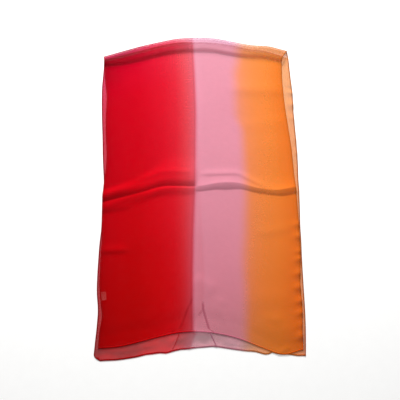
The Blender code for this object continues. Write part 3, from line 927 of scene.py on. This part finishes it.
def tuck_shade(tree, share, along):
    """How strongly the tuck's folds show through as painted shade, placed on the front half's cut."""
    from_end = sums(tree, "From the front end", along, -1.0, float(run[-1].mean()))
    wide = TUCK_SEEN_WIDTH / CUT_WIDTH * TUCK_SCALE
    shade = 0.0
    for name, tuck in TUCKS.items():
        across, length = shares_at("front", *np.array(tuck.points).T / MM)
        left = ((1 - length) * half_length("front", across)).clip(0.0, 1.0)
        middle = sorted(zip(left.tolist(), column_of("front", across, length).tolist()))
        offset = sums(tree, name + " offset", ramp(tree, name + " place", from_end, middle),
                      -TUCK_SCALE, sums(tree, name + " across", share, TUCK_SCALE, 0.5))
        line = ramp(tree, name + " line", offset,
                    [(0.5 - wide, 0.0), (0.5, 1.0), (0.5 + wide, 0.0)], "EASE")
        foot, head = middle[0][0], middle[-1][0]
        seen = ramp(tree, name + " seen", from_end, [
            (max(foot - FADE, 0.0), 0.0 if foot > 0 else tuck.seen), (foot + FADE, tuck.seen),
            (head - TUCK_FADES, tuck.seen), (head + FADE, 0.0)])
        shade = sums(tree, name + " shade", line, seen, shade)
    return shade


def roll_shade(tree, share, length_share, turn):
    """Painted light and shade round the roll and beside its foot, for each part of its width."""
    left = ramp(tree, "Left end of the roll", share, ROLL_LEFT)
    pale = ramp(tree, "Pale part of the roll", share, ROLL_PALE)
    shades = {name: ramp(tree, "Round the roll, " + name, turn, through)
              for name, through in ROLL_SHADES.items()}
    feet = {name: ramp(tree, "By the foot, " + name, length_share, through)
            for name, through in FOOT_SHADES.items()}
    round_it = mixed(tree, "Left or red", left, shades["red"], shades["left"])
    round_it = mixed(tree, "Red or pale", pale, round_it, shades["pale"])
    return times(tree, "Roll and foot", round_it,
                 mixed(tree, "Left foot", left, feet["red"], feet["left"]))


# %% The georgette
UNEVEN = 0.08                   # how much the cloth's cover varies


def surface_cover(cover):
    """The alpha of each of a shell's two surfaces, so that both together stop this much light."""
    return 1 - math.sqrt(1 - cover)


def make_georgette():
    material, tree, shader = new_material("Sheer dyed georgette")
    place = cut, share, along, length_share = cut_place(tree)
    alone, turn = (add(tree, "ShaderNodeAttribute", name, {}, attribute_name=name).outputs["Fac"]
                   for name in ("alone", "turn"))
    blotch = sums(tree, "Blotch", noise(tree, "Blotches", cut), 1.0, -0.5)
    # painted light and shade, multiplied into the dyed colour
    shades = {
        # painted shadow and painted light of the bare free end
        "Bare end": ramp(tree, "Duller bare end", along, BARE_END),
        "Bare across": mixed(tree, "Bare end only", ramp(tree, "Bare reach", along, BARE_REACH),
                             WHITE, ramp(tree, "Bare end across", share, BARE_ACROSS)),
        "Round the roll": roll_shade(tree, share, length_share, turn),
        "Alone": mixed(tree, "One layer or two", alone, WHITE,
                       ramp(tree, "Shades of one layer", share, ALONE_SHADES)),
        # blotches of painted shade near the free end
        "Blotched": sums(tree, "Blotch value", blotch,
                         ramp(tree, "Where blotched", along, BLOTCHED), 1.0),
    }
    colour = dyed_colour(tree, place, 1.0, alone)
    for label, shade in shades.items():
        colour = times(tree, label, colour, shade)
    # painted shade of the tuck's folds seen through the front half
    colour = mixed(tree, "Tuck seen through", tuck_shade(tree, share, along), colour,
                   times(tree, "Tuck shade", colour, TUCK_SHADE))

    covers = ramp(tree, "Cover of one surface", share,
                  [(row.column, surface_cover(row.cover)) for row in RED_TO_PINK[:-1] + ORANGES])
    # painted light: the roll's cover drops on its lit far side and rises at its painted dark outer line
    roll_cover = ramp(tree, "Roll cover as painted light", turn, ROLL_LIGHT_COVER)
    uneven = sums(tree, "Unevenness", noise(tree, "Thick and thin", cut), UNEVEN, 1 - UNEVEN / 2)
    grain = noise(tree, "Crepe pebbles", cut)
    coarse = bumped(tree, "Crinkled", noise(tree, "Crepe crinkle", cut), 0.18, 0.0006)
    feed(tree, shader, {
        "Base Color": colour,
        "Alpha": sums(tree, "Cover here", covers, sums(tree, "Uneven roll cover", roll_cover, uneven)),
        "Normal": bumped(tree, "Pebbled", grain, 0.25, 0.0002, Normal=coarse),
        "Roughness": sums(tree, "Dry and less dry", grain, 0.16, 0.56),
        "Specular IOR Level": 0.004, "Sheen Weight": 0.004, "Sheen Roughness": 0.4,
        "Sheen Tint": (1.0, 0.6, 0.58, 1.0),
    })
    return material


georgette = make_georgette()
print("one layer of the red stops", RED_TO_PINK[5].cover, "of the light, of the pink",
      RED_TO_PINK[-2].cover)

# %% [markdown]
# The cloth
#
# One grid is the middle of the cloth. Solidify turns it into a closed shell 0.35 mm thick, half to
# each side, which is what a real cloth is and what a 3-D file needs. The shell stands for the three
# plain solids of the panel: the back half, the turn of the fold and the front half.

# %% Lay the cloth and thicken it
def make_cloth():
    mesh, places = laid_grid(points)
    write_cut(mesh, places, np.broadcast_to(COLUMNS * CUT_WIDTH, run.shape), run)
    for name, shares in shares_of_points.items():
        write_shares(mesh, places, name, shares)
    bmesh.ops.recalc_face_normals(mesh, faces=mesh.faces)
    piece = keep("georgette_cloth", mesh, georgette, CLOTH_THICKNESS)
    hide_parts("lower_half", "fold_turn", "upper_half")
    return piece


cloth = make_cloth()
print("cloth:", len(cloth.data.polygons), "faces before it is thickened")

# %% [markdown]
# The rolled hems
#
# A hand-rolled hem is the cloth's own edge, rolled between damp fingers into a cord and caught
# every few millimetres with a slip stitch. Being several layers thick it is darker and hardly
# see-through, and the stitches pinch it so that it is never quite even. It is made by extruding a
# small ring along the edge, one short step at a time, a little narrower at each stitch.

# %% The hems' finish
# what the many layers leave of the dye's light, by the share along the cut; the front end's hem
# is painted lighter against the shade it lies in
HEM_SHADES = stops(
    (0, 60, 57, 60), (5, 40, 38, 55), (45, 40, 38, 55), (55, 60, 57, 60), (99.2, 60, 57, 60),
    (99.8, 93, 61, 76))


def make_hem_finish():
    material, tree, shader = new_material("Rolled georgette hem")
    place = cut, _, _, length_share = cut_place(tree)
    twist = noise(tree, "Rolled threads", cut)
    feed(tree, shader, {
        "Base Color": times(tree, "Deep dye of the hem", dyed_colour(tree, place, 1.4),
                            ramp(tree, "Many layers deep", length_share, HEM_SHADES)),
        "Normal": bumped(tree, "Thread relief", twist, 0.45, 0.0003),
        "Roughness": sums(tree, "Dry and less dry", twist, 0.20, 0.55),
        "Alpha": 0.93, "Specular IOR Level": 0.05, "Sheen Weight": 0.01, "Sheen Roughness": 0.4,
    })
    return material


hem_finish = make_hem_finish()
print("hem finish:", len(hem_finish.node_tree.nodes), "nodes")

# %% Following an edge in even steps
STITCH_SPACING = 0.0060
STEPS_PER_STITCH = 4
HEM_STEP = STITCH_SPACING / STEPS_PER_STITCH
HEM_CORNERS = 8
HEM_SHARE = 0.72                # the roll is slimmer than its solid
HEM_FLATNESS = 0.60             # and flatter, as it was pressed
PINCH = 0.16                    # how much a stitch pulls it in
PINCH_SWELL = 0.5               # how much of that makes it thicker
Hem = namedtuple("Hem", "piece frames at cut_at")


def run_along(path):
    """The length of a path up to each of its points."""
    return np.concatenate([[0.0], np.cumsum(np.linalg.norm(np.diff(path, axis=0), axis=1))])


def frames_along(path, outward):
    """Even steps along a path: the point, the way on, the way out and the way through the cloth."""
    lengths = run_along(path)
    at = np.linspace(0.0, lengths[-1], int(round(lengths[-1] / HEM_STEP)) + 1)
    steps = [Vector(step) for step in
             np.stack([np.interp(at, lengths, path[:, axis]) for axis in range(3)], axis=1)]
    frames = []
    for index, step in enumerate(steps):
        onward = (steps[min(index + 1, len(steps) - 1)] - steps[max(index - 1, 0)]).normalized()
        aside = (outward - onward * outward.dot(onward)).normalized()
        frames.append((step, onward, aside, onward.cross(aside)))
    return frames, at


def in_ring_order(old, fresh):
    """The new ring's vertices in the order of the old ring's, each joined to its own."""
    return [next(edge.other_vert(vertex) for edge in vertex.link_edges
                 if edge.other_vert(vertex) in fresh) for vertex in old]


def rolled_hem(name, path, outward, cut_at, width=HEM_WIDTH * HEM_SHARE,
               thickness=HEM_THICKNESS * HEM_FLATNESS):
    """Extrude a ring along the path; cut_at gives each step's place on the cut."""
    frames, at = frames_along(path, outward)
    mesh = bmesh.new()
    bmesh.ops.create_circle(mesh, segments=HEM_CORNERS, radius=1.0)
    unit = [vertex.co.copy() for vertex in mesh.verts]
    ring_edges = list(mesh.edges)
    ring = list(mesh.verts)
    where = {}
    for step, (point, _, aside, through) in enumerate(frames):
        if step:
            made = bmesh.ops.extrude_edge_only(mesh, edges=ring_edges)["geom"]
            ring_edges = [item for item in made if isinstance(item, bmesh.types.BMEdge)
                          and all(vertex not in where for vertex in item.verts)]
            ring = in_ring_order(ring, {vertex for edge in ring_edges for vertex in edge.verts})
        pinch = 1 - PINCH * (0.5 + 0.5 * math.cos(2 * math.pi * at[step] / STITCH_SPACING))
        wide = width / 2 * pinch
        thick = thickness / 2 * (1 + PINCH_SWELL * (1 - pinch))
        for vertex, corner in zip(ring, unit):
            vertex.co = point + aside * (corner.x * wide) + through * (corner.y * thick)
            where[vertex] = at[step]
    bmesh.ops.holes_fill(mesh, edges=[edge for edge in mesh.edges if edge.is_boundary])
    bmesh.ops.recalc_face_normals(mesh, faces=mesh.faces)
    layer = mesh.loops.layers.uv.new("cut")
    for face in mesh.faces:
        for corner in face.loops:
            corner[layer].uv = cut_at(where[corner.vert])
    return Hem(keep(name, mesh, hem_finish), frames, at, cut_at)


# %% The two long hems
HEM_MIDDLE = HEM_WIDTH / 2 / CUT_WIDTH


def off_the_surface(path):
    """A hem is thicker than the cloth: raise it where it would reach under the surface."""
    path = np.array(path)
    path[:, 2] = np.maximum(path[:, 2], HEM_THICKNESS / 2)
    return path


def side_hem(name, node, column, outward):
    """The hem of one long edge, from the back half's free end, round the roll, to the front's."""
    path, _ = whole_cloth(np.array([column]))
    hem = rolled_hem(name, off_the_surface(path[:, 0]), outward, lambda way: (column * CUT_WIDTH, way))
    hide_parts(node)
    return hem


LEFTWARD, RIGHTWARD, ENDWARD = Vector((-1, 0, 0)), Vector((1, 0, 0)), Vector((0, -1, 0))
hems = [side_hem("left_hem_rolled", "left_hem", HEM_MIDDLE, LEFTWARD),
        side_hem("right_hem_rolled", "right_hem", 1 - HEM_MIDDLE, RIGHTWARD)]
print("left and right hems:", [round(float(hem.at[-1]), 3) for hem in hems], "m long")

# %% The two end hems
END_HEM_STEPS = 160


def end_hem(name, node, half, length):
    """The hem of one free end, between the two long hems."""
    columns = np.linspace(HEM_MIDDLE, 1 - HEM_MIDDLE, END_HEM_STEPS)
    rows = np.full(END_HEM_STEPS, 1 - HEM_WIDTH / HALF_LENGTH)
    path = off_the_surface(np.stack(half_point(half, columns, rows), axis=-1))
    total = run_along(path)[-1]
    hem = rolled_hem(name, path, ENDWARD, lambda way: (way / total * CUT_WIDTH, length))
    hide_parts(node)
    return hem


hems.append(end_hem("upper_end_hem_rolled", "upper_end_hem", "front", CUT_LENGTH))
hems.append(end_hem("lower_end_hem_rolled", "lower_end_hem", "back", 0.0))
print("front and back end hems:", [round(float(hem.at[-1]), 3) for hem in hems[2:]], "m long")

# %% [markdown]
# The tuck at the back half's free end
#
# Near the middle of its free end the back half was folded into a narrow wedge and pressed. Its two
# pinched folds and a short fork are three layers thick. Each is the same extruded ring as a hem,
# only slimmer, laid along a smooth curve on top of the back half.

# %% The tuck's pinched folds
TUCK_THICKNESS = 0.0006
TUCK_RISE = 0.0003              # its middle above the middle of the back half
STEPS_BETWEEN = 20


def tuck_fold(name, tuck):
    """One pinched fold, on a smooth curve through its points."""
    x, y = np.array(tuck.points).T / MM
    stations = np.arange(len(x), dtype=float)
    way = np.linspace(0.0, stations[-1], STEPS_BETWEEN * len(x))
    x, y = smooth(stations, x, way), smooth(stations, y, way)
    across, along = shares_at("back", x, y)
    column = column_of("back", across, along)
    path = np.stack([x, y, back_height(x, y) + TUCK_RISE], axis=-1)
    lengths = run_along(path)

    def cut_at(at):
        return (float(np.interp(at, lengths, column)) * CUT_WIDTH,
                (1 - float(np.interp(at, lengths, along))) * HALF_LENGTH)

    return rolled_hem(name, path, LEFTWARD, cut_at, tuck.width, TUCK_THICKNESS).piece


tucks = [tuck_fold(name, tuck) for name, tuck in TUCKS.items()]
print("tuck folds:", [tuck.name for tuck in tucks])

# %% [markdown]
# The slip stitches
#
# A slip stitch hides its thread inside the roll and shows only as a tiny slanting bar. There are
# hundreds, so one bar is modelled with few faces and then copied into a single mesh, each copy
# turned and moved by its own matrix. That is an array by hand, and it stays light.

# %% One stitch, then all of them
STITCH_SIZE = (0.0024, 0.000512, 0.00032)
STITCH_SLANT = math.radians(38)
STITCH_PLACE = 0.36             # how far in and how high it lies, as shares of the hem's solid


def stitch_shape():
    """A short bar of thread with rounded ends, along X."""
    mesh = bmesh.new()
    bmesh.ops.create_uvsphere(mesh, u_segments=6, v_segments=4, radius=0.5)
    size = Matrix.Diagonal((*STITCH_SIZE, 1.0))
    bmesh.ops.transform(mesh, matrix=size @ Matrix.Rotation(math.pi / 2, 4, "Y"), verts=mesh.verts)
    shape = bpy.data.meshes.new("stitch_shape")
    mesh.to_mesh(shape)
    mesh.free()
    return shape


def make_thread():
    material, tree, shader = new_material("Hem thread")
    place = cut_place(tree)
    feed(tree, shader, {
        "Base Color": times(tree, "Thread dye", dyed_colour(tree, place, 0.6), (0.5, 0.5, 0.5, 1.0)),
        "Roughness": sums(tree, "Thread gloss", noise(tree, "Plies", place[0]), 0.2, 0.4),
    })
    return material


def sew(name, material, sewn):
    """Copy the stitch along every hem."""
    shape = stitch_shape()
    mesh = bmesh.new()
    layer = mesh.loops.layers.uv.new("cut")
    for hem in sewn:
        for step in range(STEPS_PER_STITCH // 2, len(hem.frames) - 1, STEPS_PER_STITCH):
            point, onward, aside, through = hem.frames[step]
            if through.z < 0:
                through = -through
            place = point + (through * HEM_THICKNESS - aside * HEM_WIDTH) * STITCH_PLACE
            turn = Matrix((onward, through.cross(onward), through)).transposed().to_4x4()
            slant = Matrix.Rotation(STITCH_SLANT, 4, "Z")
            before = len(mesh.verts)
            mesh.from_mesh(shape)
            mesh.verts.ensure_lookup_table()
            fresh = mesh.verts[before:]
            bmesh.ops.transform(mesh, matrix=Matrix.Translation(place) @ turn @ slant, verts=fresh)
            for face in {face for vertex in fresh for face in vertex.link_faces}:
                for corner in face.loops:
                    corner[layer].uv = hem.cut_at(hem.at[step])
    bpy.data.meshes.remove(shape)
    return keep(name, mesh, material)


stitches = sew("slip_stitches", make_thread(), hems)
print("stitch faces:", len(stitches.data.polygons))

# %% [markdown]
# The label
#
# A small woven tape is caught under the front half beside the left hem. Its two ends are turned
# under and sewn, so they show through the cloth as two paler bars. It carries nothing: the tape is
# bare. A grid follows the underside of the cloth, its end rows are extruded into the turned ends,
# and Solidify gives the tape its thickness.

# %% The label and its turned ends
LABEL_WIDTH, LABEL_LENGTH, LABEL_THICKNESS = 0.0120, 0.0210, 0.0003
LABEL_ALONG = 0.839
LABEL_TURN = 0.0028             # length of each turned end
TURN_STEPS, LABEL_ROWS, LABEL_COLUMNS = 2, 10, 9
LABEL_GAP = 0.0001


def make_tape():
    material, tree, shader = new_material("Bare label tape")
    place = add(tree, "ShaderNodeTexCoord", "Place", {}).outputs["Object"]
    ribs = add(tree, "ShaderNodeTexWave", "Woven ribs",
               {"Vector": place, "Scale": 900.0, "Distortion": 0.6, "Detail": 1.0},
               bands_direction="Y").outputs["Fac"]
    feed(tree, shader, {
        "Base Color": ramp(tree, "Tape tint", ribs, stops((0, 72, 60, 56), (100, 86, 78, 74))),
        "Normal": bumped(tree, "Ribs", ribs, 0.3, 0.0001),
        "Roughness": sums(tree, "Satin", ribs, 0.12, 0.42),
    })
    return material


def make_label():
    turned = LABEL_TURN / LABEL_LENGTH
    shares = divisions(-0.5, (-0.5 + turned, TURN_STEPS), (0.5 - turned, LABEL_ROWS), (0.5, TURN_STEPS))
    inset = HEM_WIDTH + LABEL_GAP
    across = (inset + np.linspace(0.0, LABEL_WIDTH, LABEL_COLUMNS)[None, :]) / CUT_WIDTH
    along = LABEL_ALONG + shares[:, None] * LABEL_LENGTH / HALF_LENGTH
    across, along = np.broadcast_arrays(across, along)
    below = CLOTH_THICKNESS / 2 + LABEL_THICKNESS * 1.5 + LABEL_GAP
    tape = np.stack([*plan("front", across, along), front_height(across, along) - below], axis=-1)
    mesh, places = laid_grid(tape)
    bmesh.ops.recalc_face_normals(mesh, faces=mesh.faces)
    ends = []
    for face in mesh.faces:
        rows = [places[corner.index][0] for corner in face.verts]
        if max(rows) <= TURN_STEPS or min(rows) >= len(shares) - 1 - TURN_STEPS:
            ends.append(face)
    raised = bmesh.ops.extrude_face_region(mesh, geom=ends)["geom"]
    bmesh.ops.delete(mesh, geom=ends, context="FACES_ONLY")
    bmesh.ops.translate(mesh, vec=(0.0, 0.0, LABEL_THICKNESS),
                        verts=[item for item in raised if isinstance(item, bmesh.types.BMVert)])
    piece = keep("care_label_tape", mesh, make_tape(), LABEL_THICKNESS)
    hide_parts("care_label")
    return piece


label = make_label()
print("label at", [round(float(value), 3) for value in label.data.vertices[0].co])

# %% [markdown]

# %% [markdown]
# The floor, the light and the camera
#
# The scarf lies on white under soft light from beyond its fold. A pale floor stands for the
# paper. A large soft light hangs over the fold and reaches less and less far down the scarf; a
# second one, low behind the fold, rakes across the cloth and picks out the creases; and a dim pale
# world fills the shadows.

# %% Floor
FLOOR_SIZE = 12.0


def make_floor():
    material, tree, shader = new_material("Pale paper")
    grain = add(tree, "ShaderNodeTexNoise", "Paper grain", {
        "Vector": add(tree, "ShaderNodeTexCoord", "Place", {}).outputs["Object"],
        "Scale": 40.0, "Detail": 3.0, "Roughness": 0.5})
    tint = ramp(tree, "Paper tint", grain.outputs["Fac"], stops((30, 96.5), (70, 98)))
    feed(tree, shader, {"Base Color": tint, "Roughness": 0.9, "Specular IOR Level": 0.1})
    mesh = bmesh.new()
    bmesh.ops.create_grid(mesh, x_segments=4, y_segments=4, size=FLOOR_SIZE / 2)
    as_object("floor", mesh, material)


make_floor()

# %% Lights
def soft_light(name, place, aim, size, power, tint):
    """A square of light at a place, turned towards its aim."""
    lamp = bpy.data.lights.new(name, "AREA")
    lamp.shape = "SQUARE"
    lamp.size = size
    lamp.energy = power
    lamp.color = tint
    light = bpy.data.objects.new(name, lamp)
    light.location = place
    light.rotation_euler = (Vector(aim) - Vector(place)).to_track_quat("-Z", "Y").to_euler()
    light.visible_camera = False
    bpy.context.scene.collection.objects.link(light)


soft_light("overhead", (0.0, 0.60, 2.0), (0.0, 0.60, 0.0), 1.2, 20.0, (1.0, 0.99, 0.98))
soft_light("raking", (-0.45, 4.0, 1.6), (0.0, 0.0, 0.0), 0.9, 330.0, (1.0, 0.99, 0.97))

world = bpy.data.worlds.new("Soft room")
world.use_nodes = True
background = world.node_tree.nodes["Background"]
background.inputs["Color"].default_value = (0.96, 0.98, 1.0, 1.0)
background.inputs["Strength"].default_value = 0.23
bpy.context.scene.world = world
bpy.context.scene.view_settings.view_transform = "Standard"

# %% Camera
VIEW_TILT = math.radians(17.0)      # away from straight down, towards the fold
VIEW_DISTANCE = 1.75
VIEW_CENTRE = Vector((0.0035, -0.0326, 0.0))

camera_data = bpy.data.cameras.new("View from above")
camera_data.lens = 62.07
camera_data.sensor_width = 36.0
camera = bpy.data.objects.new("View from above", camera_data)
back_off = Vector((0.0, -math.sin(VIEW_TILT), math.cos(VIEW_TILT)))
camera.location = VIEW_CENTRE + back_off * VIEW_DISTANCE
camera.rotation_euler = (VIEW_TILT, 0.0, 0.0)
bpy.context.scene.collection.objects.link(camera)
bpy.context.scene.camera = camera
print("camera at", [round(value, 3) for value in camera.location])
